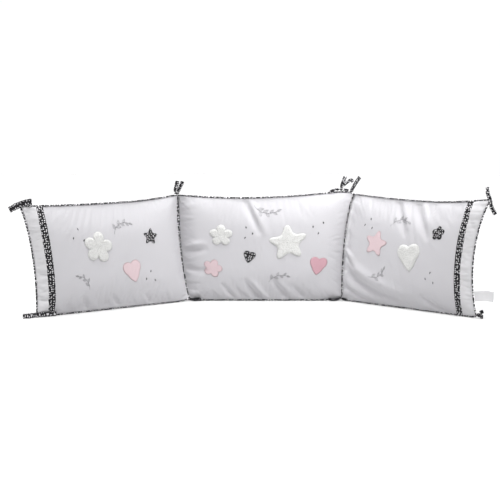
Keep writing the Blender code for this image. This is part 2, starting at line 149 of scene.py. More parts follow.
# The main creases: each a soft trough, or a ridge where its depth is negative, bent toward its middle point
Crease = namedtuple("Crease", "from_s from_v via_s via_v to_s to_v width depth")
CREASES = of_panels(
    Crease,
    left=(
        (0.280, 0.13, 0.300, 0.07, 0.310, 0.01, 0.009, 0.0035),
        (0.470, 0.12, 0.500, 0.06, 0.520, 0.01, 0.009, 0.0040),
        (0.690, 0.10, 0.720, 0.05, 0.740, 0.01, 0.009, 0.0030),
        (0.005, 0.37, 0.035, 0.365, 0.075, 0.37, 0.007, 0.0030),
        (0.005, 0.14, 0.040, 0.13, 0.085, 0.14, 0.007, 0.0030),
    ),
    middle=(
        (0.380, 0.99, 0.425, 0.86, 0.475, 0.68, 0.011, 0.0055),
        (0.415, 0.98, 0.460, 0.84, 0.520, 0.66, 0.012, -0.0030),
        (0.240, 0.15, 0.275, 0.09, 0.300, 0.01, 0.009, 0.0050),
        (0.390, 0.19, 0.425, 0.12, 0.475, 0.01, 0.010, 0.0060),
        (0.420, 0.20, 0.465, 0.12, 0.520, 0.01, 0.010, -0.0035),
        (0.560, 0.20, 0.600, 0.12, 0.655, 0.01, 0.010, 0.0060),
        (0.600, 0.18, 0.640, 0.11, 0.700, 0.01, 0.010, -0.0030),
        (0.690, 0.13, 0.720, 0.08, 0.765, 0.01, 0.009, 0.0045),
        (0.005, 0.52, 0.070, 0.54, 0.140, 0.56, 0.010, -0.0030),
        (0.005, 0.46, 0.070, 0.47, 0.150, 0.50, 0.010, 0.0045),
        (0.005, 0.31, 0.060, 0.29, 0.140, 0.29, 0.010, 0.0040),
    ),
    right=(
        (0.020, 0.42, 0.065, 0.40, 0.130, 0.33, 0.010, 0.0060),
        (0.020, 0.50, 0.070, 0.47, 0.120, 0.42, 0.009, -0.0040),
        (0.030, 0.34, 0.120, 0.18, 0.420, 0.06, 0.018, 0.0085),
        (0.060, 0.42, 0.200, 0.24, 0.520, 0.13, 0.020, -0.0040),
        (0.010, 0.14, 0.090, 0.10, 0.200, 0.02, 0.010, 0.0045),
        (0.370, 0.99, 0.435, 0.86, 0.500, 0.70, 0.011, 0.0055),
        (0.410, 0.99, 0.465, 0.88, 0.510, 0.76, 0.010, -0.0030),
        (0.510, 0.99, 0.580, 0.84, 0.670, 0.68, 0.012, 0.0055),
        (0.560, 0.99, 0.620, 0.88, 0.680, 0.78, 0.010, -0.0030),
        (0.640, 0.12, 0.700, 0.08, 0.780, 0.01, 0.011, 0.0045),
    ),
)

CREASE_GAIN = 1.7
CREASE_STEPS = 24
CREASE_END = 0.12  # how much of its fade is cut off at each end of a crease

# Where the cloth gathers into its seams: how strongly, how far in, how close together and how slanted
Gather = namedtuple("Gather", "panel side strength reach pitch slant")
GATHERS = (
    Gather("left", "foot", 0.0034, 0.034, 0.026, 0.4),
    Gather("left", "top", 0.0007, 0.030, 0.034, 0.2),
    Gather("left", "left", 0.0014, 0.030, 0.030, 0.1),
    Gather("left", "right", 0.0012, 0.030, 0.032, -0.3),
    Gather("middle", "foot", 0.0030, 0.046, 0.034, 0.7),
    Gather("middle", "top", 0.0008, 0.034, 0.040, -0.3),
    Gather("middle", "left", 0.0030, 0.050, 0.036, -0.2),
    Gather("middle", "right", 0.0010, 0.026, 0.034, 0.2),
    Gather("right", "foot", 0.0018, 0.036, 0.036, 0.6),
    Gather("right", "top", 0.0028, 0.060, 0.034, -0.4),
    Gather("right", "left", 0.0028, 0.050, 0.034, 0.3),
    Gather("right", "right", 0.0024, 0.030, 0.026, 0.1),
)

GATHER_START = 0.005
GATHER_STRETCH = 5  # how many times as long as wide a gather is
TROUGH_SHARPNESS = 4
WAVE_SHARE, TROUGH_SHARE = 1.5, 0.9

# ---------------------------------------------------------------- piping, bands and end strips

PIPING_SIDES = 10
PIPING_WANDER = 110  # how quickly its thickness wanders, a metre
PIPING_SWAY = 0.0009

EDGE_STEPS = ((0.0, -0.3), (0.0006, 0.45), (0.0016, 0.9), (0.003, 1.0))  # how far in from an edge, how far up
SKIN_CELL = 0.005
SKIN_ROWS = 130
SKIN_CLEAR = 0.003  # the share of the height that is bare at its top, and at its foot
EDGE_SWAY = 0.0007
UNDERSIDE = 0.0001
UNDER_UV_STEP = 0.7
FACING_START = 0.0015
FACING_UNDER = 0.003  # how far the end strip reaches under the band
TOPSTITCH_PITCH, TOPSTITCH_LENGTH, TOPSTITCH_LIFT = 0.0034, 0.0024, 0.0017
TOPSTITCH_SHARES = (0.07, 0.93)  # of the band's width

SPOTTED_GROUND = (0.009, 0.0085, 0.0105)
SPOT_EDGE = 0.03

# ---------------------------------------------------------------- what is sewn on

SEWN_GAP = 0.0004
CLOTH_THICKNESS = 0.001
PLUSH_THICKNESS = 0.0045
CLOTH_EDGE, PLUSH_EDGE = 0.0014, 0.010  # how far in the edge is rounded

Motif = namedtuple("Motif", "name outline panel s v radius turn cloth")
MOTIFS = (
    Motif("flower_plush", "flower", "left", 0.400, 0.60, 0.056, 10, "plush"),
    Motif("heart_pink", "heart", "left", 0.610, 0.36, 0.046, -12, "pink"),
    Motif("star_spotted", "star", "left", 0.760, 0.66, 0.029, 8, "spotted"),
    Motif("star_plush_large", "star", "middle", 0.655, 0.56, 0.066, -6, "plush"),
    Motif("flower_plush_small", "flower", "middle", 0.250, 0.64, 0.040, 0, "plush"),
    Motif("heart_spotted", "heart", "middle", 0.420, 0.44, 0.026, 14, "spotted"),
    Motif("flower_pink", "flower", "middle", 0.190, 0.32, 0.034, 20, "pink"),
    Motif("heart_pink_large", "heart", "middle", 0.845, 0.34, 0.038, 10, "rose"),
    Motif("heart_plush", "heart", "right", 0.560, 0.50, 0.058, -8, "plush"),
    Motif("star_pink", "star", "right", 0.300, 0.58, 0.048, 10, "pink"),
    Motif("flower_spotted", "flower", "right", 0.745, 0.72, 0.025, 0, "spotted"),
)

# Stitches: the sections of one, how far along and how thick, and the corners of a section
STITCH_SECTIONS = ((0.0, 0.35), (0.22, 1.0), (0.78, 1.0), (1.0, 0.35))
STITCH_TURNS = (0.3, 1.57, 2.84, 4.71)
THREAD_RADIUS = {"topstitch": 0.00025, "edging": 0.00032, "sprigs": 0.00042, "seeds": 0.00045}
THREAD_LIFT = 0.0003
EDGING_PITCH, EDGING_INSIDE, EDGING_OUTSIDE, EDGING_HEIGHT = 0.0011, 0.0014, 0.0006, 0.0018
STEM_STITCH, LEAF_STITCH = 0.0026, 0.0022
LEAF_TURN, LEAF_WIDTH = 0.85, 0.26
SEED_STITCHES = 13
SEED_LENGTH, SEED_WIDTH = 0.0084, 0.0042

Sprig = namedtuple("Sprig", "s v length turn bend leaves")
SPRIGS = of_panels(
    Sprig,
    left=(
        (0.560, 0.800, 0.085, 62, 0.9, 6),
        (0.300, 0.300, 0.070, -38, -0.8, 5),
    ),
    middle=(
        (0.500, 0.860, 0.090, 108, -0.8, 6),
        (0.585, 0.240, 0.075, 70, 0.7, 5),
    ),
    right=(
        (0.440, 0.820, 0.080, 74, 0.8, 6),
        (0.330, 0.270, 0.080, 66, -0.8, 5),
    ),
)

Seed = namedtuple("Seed", "s v turn")
SEEDS = of_panels(
    Seed,
    left=(
        (0.250, 0.700, 20), (0.290, 0.780, -10), (0.315, 0.675, 35), (0.700, 0.260, 0), (0.735, 0.330, 25),
        (0.760, 0.240, -20),
    ),
    middle=(
        (0.400, 0.720, -15), (0.440, 0.660, 10), (0.395, 0.620, 30), (0.800, 0.700, 0), (0.835, 0.635, 20),
        (0.860, 0.730, -25),
    ),
    right=(
        (0.190, 0.740, 15), (0.225, 0.800, -20), (0.250, 0.720, 5), (0.690, 0.300, -10), (0.725, 0.360, 20),
        (0.745, 0.270, 0),
    ),
)

# ---------------------------------------------------------------- ties, knots and label

STRIP_SIDES = 18
STRIP_SQUARENESS = 0.6  # under 1 for flat sides and round edges
STRIP_WANDER = 60  # how quickly its curl and width wander, a metre
TIE_STEPS = 8
TIE_THICKNESS = 0.0014
TIE_PINCH, PINCH_REACH = 0.3, 0.006
PINCHED_FROM, PINCHED_TO = 0.02, 0.08  # the lengths of the ties that are pinched where they leave their knot

Tie = namedtuple("Tie", "name panel end level width path")
TIES = (
    Tie("tie_left_top", "left", "left", "top", 0.022,
        ((-0.042, 0.003, -0.009), (-0.019, 0.005, 0.002), (0.000, 0.0037, 0.008), (0.018, 0.005, 0.013),
         (0.039, 0.004, 0.015))),
    Tie("tie_left_foot", "left", "left", "foot", 0.017,
        ((-0.055, 0.004, 0.0015), (-0.028, 0.006, 0.0010), (0.000, 0.0037, 0.0012), (0.034, 0.0092, 0.0010),
         (0.066, 0.0125, 0.0010))),
    Tie("tie_join_left_top_a", "middle", "left", "top", 0.014,
        ((-0.011, 0.0055, 0.0145), (-0.009, 0.007, 0.026), (-0.005, 0.006, 0.040), (-0.002, 0.003, 0.054))),
    Tie("tie_join_left_top_b", "middle", "left", "top", 0.014,
        ((0.000, 0.002, 0.0138), (0.005, 0.003, 0.026), (0.012, 0.001, 0.040), (0.017, 0.003, 0.053))),
    Tie("tie_join_left_foot_a", "middle", "left", "foot", 0.013,
        ((0.0212, 0.008, 0.0004), (0.030, 0.014, 0.0004), (0.040, 0.012, 0.0004), (0.051, 0.018, 0.0004))),
    Tie("tie_join_left_foot_b", "middle", "left", "foot", 0.011,
        ((0.0148, 0.0130, -0.0005), (0.024, 0.019, -0.0008), (0.036, 0.017, -0.0010))),
    Tie("tie_join_right_top_a", "middle", "right", "top", 0.010,
        ((-0.0506, 0.000, 0.0183), (-0.068, 0.003, 0.0167), (-0.086, 0.005, 0.0092))),
    Tie("tie_join_right_top_b", "middle", "right", "top", 0.014,
        ((-0.0432, 0.0005, 0.0232), (-0.039, 0.003, 0.040), (-0.029, 0.001, 0.066))),
    Tie("tie_join_right_top_c", "middle", "right", "top", 0.011,
        ((-0.0375, 0.0047, 0.031), (-0.022, 0.0065, 0.045), (-0.008, 0.006, 0.053), (-0.002, 0.005, 0.045))),
    Tie("tie_join_right_top_d", "middle", "right", "top", 0.010,
        ((-0.0367, 0.0024, 0.0175), (-0.027, 0.0042, 0.0165), (-0.017, 0.0052, 0.0136))),
    Tie("tie_join_right_top_e", "right", "left", "top", 0.015,
        ((-0.003, 0.0037, 0.001), (0.006, 0.005, 0.022), (0.022, 0.004, 0.046), (0.038, 0.002, 0.067))),
    Tie("tie_join_right_foot_a", "middle", "right", "foot", 0.010,
        ((-0.0068, 0.0063, -0.0058), (-0.018, 0.012, -0.0092), (-0.034, 0.018, -0.0094),
         (-0.048, 0.012, -0.0075))),
    Tie("tie_join_right_foot_b", "middle", "right", "foot", 0.010,
        ((0.0028, 0.0063, -0.0060), (0.012, 0.010, -0.0092), (0.019, 0.013, -0.0094))),
    Tie("tie_right_top", "right", "right", "top", 0.015,
        ((-0.010, 0.003, 0.043), (-0.006, 0.006, 0.022), (0.001, 0.0037, 0.004), (0.010, 0.007, -0.022),
         (0.023, 0.004, -0.047))),
    Tie("tie_right_foot_a", "right", "right", "foot", 0.014,
        ((0.0187, 0.0012, 0.0036), (0.0235, 0.005, 0.0014), (0.030, 0.003, 0.0012))),
    Tie("tie_right_foot_b", "right", "right", "foot", 0.013,
        ((0.0157, -0.0014, 0.0114), (0.0205, -0.0008, 0.0150), (0.0275, -0.002, 0.0185))),
)

Knot = namedtuple("Knot", "name panel end level along front up half_x half_y half_z")
KNOTS = (
    Knot("knot_join_left_top", "middle", "left", "top", -0.0045, 0.0035, 0.0091, 0.0105, 0.0055, 0.0045),
    Knot("knot_join_left_foot", "middle", "left", "foot", 0.0148, 0.0084, 0.0000, 0.0056, 0.004, 0.0062),
    Knot("knot_join_right_top", "middle", "right", "top", -0.0435, 0.000, 0.0176, 0.0065, 0.0045, 0.005),
    Knot("knot_join_right_foot", "middle", "right", "foot", -0.002, 0.0063, -0.0050, 0.004, 0.004, 0.004),
    Knot("knot_right_foot", "right", "right", "foot", 0.0112, 0.000, 0.0045, 0.0072, 0.0055, 0.0078),
)

KNOT_STEPS, KNOT_SIDES = 72, 12
KNOT_STRIP = 0.36  # the thickness of its strip, as a share of the knot's
KNOT_STRIP_WIDE, KNOT_STRIP_DEEP = 1.25, 0.85
KNOT_UV_STEP = 0.0016

LABEL_LENGTH, LABEL_HEIGHT, LABEL_THICKNESS = 0.073, 0.035, 0.001
LABEL_V = 0.17
LABEL_START = SEAM_TO_PIPING + 0.00225 + 0.0003  # clear of the CAD's cord
LABEL_PATH = ((0.0017, 0.000, 0.0002), (0.026, 0.003, 0.004), (0.050, -0.001, 0.006), (0.074, -0.004, 0.005))
LABEL_STEPS = 14

# ---------------------------------------------------------------- camera and studio

CAMERA_LENS = 86.76
CAMERA_TARGET = (-0.055, 0, 0.188)
CAMERA_DISTANCE = 4.431
CAMERA_RISE = 6.6

FLOOR_RADIUS = 9
FLOOR_GAP = 0.0003
FLOOR_TONES = ((0.55, 0.55, 0.55), (0.56, 0.56, 0.56))
SKY = {"from_min": 0.09, "from_max": 0.15, "to_min": 1.02, "to_max": 0.08}  # its brightness by height

Sun = namedtuple("Sun", "name energy turn softness")
SUNS = (
    Sun("key", 5.8, (13, 0, -4), 50),
    Sun("back", 0.4, (-40, 0, 10), 60),
)

# Square lamps whose grids keep their light off the floor below them
Softbox = namedtuple("Softbox", "name energy place target side spread")
SOFTBOXES = (
    Softbox("right", 2.8, (1.30, -0.80, 0.90), (0.05, -0.05, 0.63), 0.4, 76),
    Softbox("left", 1.25, (-0.40, -0.80, 1.00), (0.56, -0.05, 0.66), 0.4, 72),
    Softbox("rear", 6, (-1.20, 1.60, 1.10), (0.0, 0.0, 0.22), 0.6, 70),
)


# ---------------------------------------------------------------- the shape of a panel

def smoothstep(x):
    x = np.clip(x, 0, 1)
    return x * x * (3 - 2 * x)


def panel_named(name):
    return next(panel for panel in PANELS if panel.name == name)


def panel_directions(panel):
    """Unit vectors along a panel, left to right, and out of its front."""
    run_x = panel.right.foot_x - panel.left.foot_x
    run_y = panel.right.foot_y - panel.left.foot_y
    along = Vector((run_x, run_y, 0)).normalized()
    return along, Vector((along.y, -along.x, 0))


def panel_size(panel):
    """The length of a panel along its foot, and its height."""
    length = math.hypot(panel.right.foot_x - panel.left.foot_x, panel.right.foot_y - panel.left.foot_y)
    return length, panel.left.height


def end_seam(end, outward, v):
    """Points v of the way up an end seam, on the floor plan."""
    foot = np.array((end.foot_x, end.foot_y, 0))
    top = np.array((end.top_x, end.top_y, 0))
    out = end.ear * v ** EAR_SHARPNESS - end.bow * 4 * v * (1 - v)
    return foot + (top - foot) * v[..., None] + np.array(outward) * out[..., None]


def seam_surface(panel, s, v):
    """The surface midway through a panel, which its seams lie in, at arrays of s and v."""
    s, v = np.broadcast_arrays(np.asarray(s, float), np.asarray(v, float))
    along, front = panel_directions(panel)
    left, right, length = panel.left, panel.right, panel_size(panel)[0]
    from_left, from_right = np.exp(-s * length / CORNER_REACH), np.exp((s - 1) * length / CORNER_REACH)
    left_seam, right_seam = end_seam(left, -along, v), end_seam(right, along, v)
    point = left_seam + (right_seam - left_seam) * s[..., None]
    tuck = left.tuck * np.exp(-s * length / TUCK_REACH) + right.tuck * np.exp((s - 1) * length / TUCK_REACH)
    point -= np.array(front) * (tuck * np.sqrt(np.maximum(4 * v * (1 - v), 0)))[..., None]
    reach = np.where(s < panel.sag_at, panel.sag_at, 1 - panel.sag_at)
    low = SEAM_HEIGHT + left.lift * from_left + right.lift * from_right
    high = left.height + (right.height - left.height) * s
    high -= panel.sag * (1 - ((s - panel.sag_at) / reach) ** 2)
    high -= left.droop * from_left + right.droop * from_right
    point[..., 2] = low + (high - low) * v
    return point


def filled(distance, reach):
    short = 1 - np.minimum(np.maximum(distance, 0) / reach, 1)
    return np.maximum(1 - short * short, 0) ** PUFF_POWER


def half_thickness(panel, s, v):
    length, height = panel_size(panel)
    ends = filled(s * length, panel.left.reach) * filled((1 - s) * length, panel.right.reach)
    return panel.crown * ends * filled(v * height, PUFF_REACH) * filled((1 - v) * height, PUFF_REACH)


def held_corner(held):
    """The panel that holds a tie or a knot, and the corner of it that does."""
    panel = panel_named(held.panel)
    return panel, Vector(seam_surface(panel, float(held.end == "right"), float(held.level == "top")))


def held_point(panel, corner, step):
    along, front = panel_directions(panel)
    return corner + along * step[0] + front * step[1] + UP * step[2]


def crease_lift(panel, s, v):
    """How far the creases push the front out at arrays of s and v."""
    length, height = panel_size(panel)
    lift = np.zeros_like(s)
    for crease in CREASES[panel.name]:
        start, via, stop = np.array(crease[:6]).reshape(3, 2)
        near, share = np.full(s.shape, np.inf), np.zeros_like(s)
        for step in range(CREASE_STEPS + 1):
            t = step / CREASE_STEPS
            point = start * (1 - t) ** 2 + via * 2 * t * (1 - t) + stop * t * t
            away = np.hypot((s - point[0]) * length, (v - point[1]) * height)
            share = np.where(away < near, t, share)
            near = np.minimum(near, away)
        fade = np.sin(math.pi * (CREASE_END + (1 - 2 * CREASE_END) * share))
        lift -= crease.depth * CREASE_GAIN * fade * np.exp(-((near / crease.width) ** 2))
    return lift


def gather_lift(panel, s, v, face):
    """How far the gathers along the seams push one face out at arrays of s and v."""
    length, height = panel_size(panel)
    lift = np.zeros_like(s)
    for row, gather in enumerate(GATHERS):
        if gather.panel != panel.name:
            continue
        along, inward = {
            "foot": (s * length, v * height),
            "top": (s * length, (1 - v) * height),
            "left": (v * height, s * length),
            "right": (v * height, (1 - s) * length),
        }[gather.side]
        across = (along + gather.slant * inward) / gather.pitch
        down = inward / (gather.pitch * GATHER_STRETCH)
        layer = row * 7.3 + face * 2.1
        wave = np.array([[noise.noise(Vector((x, y, layer))) for x, y in zip(*pair)]
                         for pair in zip(across, down)])
        trough = (1 - np.minimum(np.abs(wave) * TROUGH_SHARPNESS, 1)) ** 2
        fade = (1 - np.exp(-inward / GATHER_START)) * np.exp(-((inward / gather.reach) ** 2))
        lift += gather.strength * fade * (WAVE_SHARE * wave - TROUGH_SHARE * trough)
    return lift


# ---------------------------------------------------------------- the filled panels

def cell_corners(grids):
    """The four corners of each cell of a front and a back grid, the back's turned the other way."""
    for side, grid in grids.items():
        corners = (grid[:-1, :-1], grid[1:, :-1], grid[1:, 1:], grid[:-1, 1:])
        yield np.stack(corners[::side], axis=2)


class Cushion:
    """A filled panel: its grid of cloth, its mesh and its surface for what is sewn on it."""

    def __init__(self, panel):
        self.panel = panel
        self.front = panel_directions(panel)[1]
        self.length, self.height = panel_size(panel)
        self.columns, self.rows = round(self.length / CELL), round(self.height / CELL)
        steps = np.linspace(0, 1, self.columns + 1), np.linspace(0, 1, self.rows + 1)
        self.s, self.v = np.meshgrid(*steps, indexing="ij")
        self.shape = {side: self.cad_shape(side, 1) for side in SIDES}
        self.index = self.number_points()

    def outward(self, distance):
        """A grid of steps out of the front from a grid of distances."""
        return np.array(self.front) * distance[..., None]

    def cad_shape(self, side, fullness):
        out = half_thickness(self.panel, self.s, self.v) * fullness * side
        return seam_surface(self.panel, self.s, self.v) + self.outward(out)

    def number_points(self):
        """The vertex numbers of the front grid and of the back grid, which share the seam."""
        front = np.arange(self.s.size).reshape(self.s.shape)
        back = front.copy()
        inner = back[1:-1, 1:-1]
        inner[:] = front.size + np.arange(inner.size).reshape(inner.shape)
        return {1: front, -1: back}

    def points(self, shape):
        listed = np.empty((self.index[-1].max() + 1, 3))
        for side in reversed(SIDES):
            listed[self.index[side].ravel()] = shape[side].reshape(-1, 3)
        return listed

    def slack(self):
        """How slack the cloth is, 0 to 1, at each point of a grid."""
        share = np.zeros_like(self.s)
        for row in SLACKS[self.panel.name]:
            away = ((self.s - row.s) / row.reach_s) ** 2 + ((self.v - row.v) / row.reach_v) ** 2
            share = np.maximum(share, row.share * np.exp(-away))
        return share

    def make(self):
        """The mesh that the simulation starts from, with its seam pinned."""
        start = {side: self.cad_shape(side, START_FULL) for side in SIDES}
        for side, grid in start.items():
            ripple = np.array([[noise.noise(Vector(point) * RIPPLES + Vector((side, 0, 0))) for point in row]
                               for row in grid])
            grid += self.outward(ripple * RIPPLE_DEPTH * np.sin(math.pi * self.s) * np.sin(math.pi * self.v))
        mesh = bpy.data.meshes.new(f"cushion_{self.panel.name}")
        faces = np.concatenate([cells.reshape(-1, 4) for cells in cell_corners(self.index)])
        mesh.from_pydata(self.points(start).tolist(), [], faces.tolist())
        self.piece = new_object(mesh.name, mesh)
        seam = self.piece.vertex_groups.new(name="seam")
        edge = np.ones_like(self.s, bool)
        edge[1:-1, 1:-1] = False
        on_seam = set(self.index[1][edge].tolist())
        seam.add(list(on_seam), 1, "REPLACE")
        crease = mesh.attributes.new("crease_edge", "FLOAT", "EDGE")
        sharp = [float(on_seam.issuperset(joined.vertices)) for joined in mesh.edges]
        crease.data.foreach_set("value", sharp)
        loose = self.piece.vertex_groups.new(name="slack")
        shares = self.slack().ravel().tolist()
        for side in SIDES:
            for number, share in zip(self.index[side].ravel().tolist(), shares):
                loose.add([number], share, "REPLACE")
        cloth = self.piece.modifiers.new("Cloth", "CLOTH")
        for name, value in CLOTH_SETTINGS.items():
            setattr(cloth.settings, name, value)
        cloth.settings.effector_weights.gravity = 0
        cloth.collision_settings.use_collision = False
        cloth.point_cache.frame_start, cloth.point_cache.frame_end = 1, FRAMES

    def settle(self):
        """Take the simulated cloth: its puckers in full, and a share of its swelling."""
        seen = self.piece.evaluated_get(bpy.context.evaluated_depsgraph_get())
        listed = np.empty(len(seen.data.vertices) * 3)
        seen.data.vertices.foreach_get("co", listed)
        moved = {side: listed.reshape(-1, 3)[self.index[side]] for side in SIDES}
        self.piece.modifiers.clear()
        for side in SIDES:
            move = moved[side] - self.shape[side]
            swell = move.copy()
            for _ in range(SMOOTHINGS):
                around = swell[:-2, 1:-1] + swell[2:, 1:-1] + swell[1:-1, :-2] + swell[1:-1, 2:]
                swell[1:-1, 1:-1] = around / 4
            move = (move - swell) * PUCKER_GAIN + swell * SWELL_KEPT
            lift = gather_lift(self.panel, self.s, self.v, side)
            if side > 0:
                lift += crease_lift(self.panel, self.s, self.v)
            move += self.outward(side * lift * self.room())
            size = np.linalg.norm(move, axis=-1, keepdims=True)
            move *= np.minimum(size, MOVE_CAP) / np.maximum(size, 1e-9)
            self.shape[side] = self.shape[side] + move
        self.piece.data.vertices.foreach_set("co", self.points(self.shape).ravel())
        self.add_uv()
        self.piece.data.shade_smooth()
        rounder = self.piece.modifiers.new("Rounder", "SUBSURF")
        rounder.levels = rounder.render_levels = 1
        self.surface = surface_of(self.piece)

    def room(self):
        """0 on the seam, rising to 1 a little way in."""
        from_ends = np.minimum(self.s, 1 - self.s) * self.length
        return smoothstep(np.minimum(from_ends, np.minimum(self.v, 1 - self.v) * self.height) / ROOM_REACH)

    def add_uv(self):
        """UV in metres along and up the panel, with the back beside the front."""
        layer = self.piece.data.uv_layers.new(name="UVMap")
        along, up = self.s * self.length, self.v * self.height
        flat = {side: np.stack((along + (side < 0) * BACK_UV_STEP, up), axis=-1) for side in SIDES}
        corners = np.concatenate([cells.reshape(-1, 2) for cells in cell_corners(flat)])
        layer.data.foreach_set("uv", corners.ravel())

    def at(self, s, v, proud=0):
        """The point proud of the front cloth at s and v, and the way out of the cloth there."""
        s, v = min(max(s, 0), 1), min(max(v, 0), 1)
        i, j = min(int(s * self.columns), self.columns - 1), min(int(v * self.rows), self.rows - 1)
        a, b = s * self.columns - i, v * self.rows - j
        grid = self.shape[1]
        below = grid[i, j] * (1 - a) + grid[i + 1, j] * a
        above = grid[i, j + 1] * (1 - a) + grid[i + 1, j + 1] * a
        rough = Vector(below * (1 - b) + above * b)
        hit = self.surface.ray_cast(rough + self.front * RAY_REACH, -self.front, 2 * RAY_REACH)
        if hit[0] is None or (hit[0] - rough).length > FAR_HIT:
            hit = self.surface.find_nearest(rough)
        point, normal = hit[:2]
        if normal.dot(self.front) < STEEP:
            normal = (normal + self.front).normalized()
        return point + normal * proud, normal

    def near(self, s, v, right, up, proud=0):
        """As at, at a step of metres to the right and up from s and v."""
        return self.at(s + right / self.length, v + up / self.height, proud)

    def from_end(self, distance):
        """The s at a distance in from an outer panel's free end."""
        return distance / self.length if self.panel.name == "left" else 1 - distance / self.length


def surface_of(piece):
    seen = piece.evaluated_get(bpy.context.evaluated_depsgraph_get())
    mesh = seen.to_mesh()
    points = [vertex.co.copy() for vertex in mesh.vertices]
    tree = BVHTree.FromPolygons(points, [face.vertices[:] for face in mesh.polygons])
    seen.to_mesh_clear()
    return tree


# ---------------------------------------------------------------- materials

def add(tree, kind, inputs=None, **settings):
    """A node with its settings, and its inputs as values or as sockets to link from."""
    node = tree.nodes.new(kind)
    for name, value in settings.items():
        setattr(node, name, value)
    for name, value in (inputs or {}).items():
        if isinstance(value, bpy.types.NodeSocket):
            tree.links.new(value, node.inputs[name])
        else:
            node.inputs[name].default_value = value
    return node


def plain_shader(name, roughness, sheen=0.0, specular=0.3, solid=False):
    """A material, its tree and shader, and its places: on the cloth by UV, or in space if it is solid."""
    material = bpy.data.materials.new(name)
    material.use_nodes = True
    tree = material.node_tree
    shader = tree.nodes["Principled BSDF"]
    shader.inputs["Roughness"].default_value = roughness
    shader.inputs["Specular IOR Level"].default_value = specular
    shader.inputs["Sheen Weight"].default_value = sheen
    shader.inputs["Sheen Roughness"].default_value = 0.4
    if solid:
        place = add(tree, "ShaderNodeTexCoord").outputs["Object"]
    else:
        place = add(tree, "ShaderNodeUVMap", uv_map="UVMap").outputs[0]
    return material, tree, shader, place


def clouds(tree, place, **inputs):
    return add(tree, "ShaderNodeTexNoise", {"Vector": place, **inputs}).outputs["Fac"]


def waves(tree, place, way, **inputs):
    return add(tree, "ShaderNodeTexWave", {"Vector": place, **inputs}, bands_direction=way).outputs["Fac"]


def combined(tree, operation, first, second):
    return add(tree, "ShaderNodeMath", {0: first, 1: second}, operation=operation).outputs[0]


def vectors(tree, operation, inputs):
    return add(tree, "ShaderNodeVectorMath", inputs, operation=operation).outputs[0]


def in_range(tree, value, **limits):
    """A value taken from one range to another, each 0 to 1 where it isn't given."""
    inputs = {name.replace("_", " ").title(): limit for name, limit in limits.items()}
    return add(tree, "ShaderNodeMapRange", {"Value": value, **inputs}).outputs[0]


def mixed(tree, share, first, second):
    mix = add(tree, "ShaderNodeMix", {0: share, 6: (*first, 1), 7: (*second, 1)}, data_type="RGBA")
    return mix.outputs[2]


def dress(tree, shader, color, height, strength, distance):
    """Give a shader its colour, and its relief from a height."""
    tree.links.new(color, shader.inputs["Base Color"])
    bump = add(tree, "ShaderNodeBump", {"Height": height, "Strength": strength, "Distance": distance})
    tree.links.new(bump.outputs[0], shader.inputs["Normal"])


def weave_height(tree, place, threads):
    """The height of a plain weave with so many threads a metre."""
    warp, weft = (waves(tree, place, way, Scale=threads / 2) for way in "XY")
    return combined(tree, "ADD", warp, weft)


def cloth_material(name, color, deeper_patch_and_shade, roughness=0.62, sheen=0.12, threads=2100, relief=0.12):
    """Closely woven cloth: a weave in relief and a colour that varies a little."""
    material, tree, shader, place = plain_shader(name, roughness, sheen)
    patches = mixed(tree, clouds(tree, place, Scale=9.0, Detail=4.0), color, deeper_patch_and_shade)
    slubs = clouds(tree, place, Scale=260.0, Detail=3.0)
    height = combined(tree, "ADD", weave_height(tree, place, threads), slubs)
    dress(tree, shader, patches, height, relief, 0.0003)
    return material


def spotted_material(name, pitch, light, least, most):
    """Black cloth printed with small uneven white spots."""
    material, tree, shader, place = plain_shader(name, 0.75, 0.1, 0.25)
    wander = add(tree, "ShaderNodeTexNoise", {"Vector": place, "Scale": 260.0, "Detail": 2.0})
    shift = vectors(tree, "SUBTRACT", {0: wander.outputs["Color"], 1: (0.5, 0.5, 0.5)})
    bent = vectors(tree, "ADD", {0: place, 1: vectors(tree, "SCALE", {0: shift, "Scale": pitch * 0.25})})
    cells = add(tree, "ShaderNodeTexVoronoi", {"Vector": bent, "Scale": 1 / pitch, "Randomness": 0.62},
                voronoi_dimensions="2D")
    chance = add(tree, "ShaderNodeSeparateColor", {"Color": cells.outputs["Color"]}).outputs[0]
    reach = in_range(tree, chance, to_min=least, to_max=most)
    inside = combined(tree, "SUBTRACT", reach, cells.outputs["Distance"])
    share = in_range(tree, inside, from_min=-SPOT_EDGE, from_max=SPOT_EDGE)
    color = mixed(tree, share, SPOTTED_GROUND, light)
    dress(tree, shader, color, weave_height(tree, place, 1900), 0.25, 0.0003)
    return material


def plush_material(name, color, deeper_patch_and_shade):
    """Short pile: soft tufts in relief, the colour lowered to a shaded tone where the pile is low between
    them (painted shade), with a strong sheen.
    """
    material, tree, shader, place = plain_shader(name, 0.95, 0.5, 0.1)
    tufts = clouds(tree, place, Scale=620.0, Detail=5.0, Roughness=0.7)
    curls = add(tree, "ShaderNodeTexVoronoi", {"Vector": place, "Scale": 330.0}, feature="SMOOTH_F1")
    height = combined(tree, "SUBTRACT", tufts, curls.outputs["Distance"])
    # Painted shade: the colour follows the height, dimmer down between the tufts.
    share = in_range(tree, height, from_min=-0.25, from_max=0.45)
    dress(tree, shader, mixed(tree, share, deeper_patch_and_shade, color), height, 0.6, 0.0012)
    return material


def thread_material(name, color):
    """Embroidery thread, its ply running across the stitch; its colour drops in the dips of its relief,
    partly uneven tone and partly painted shade.
    """
    material, tree, shader, place = plain_shader(name, 0.45, 0.2, 0.4, solid=True)
    grain_and_shade = clouds(tree, place, Scale=900.0, Detail=2.0)
    # Painted shade: the thread's colour drops to this tone where its relief dips.
    dip_shade_tone = [part * 0.8 for part in color]
    dress(tree, shader, mixed(tree, grain_and_shade, dip_shade_tone, color), grain_and_shade, 0.3, 0.0002)
    return material


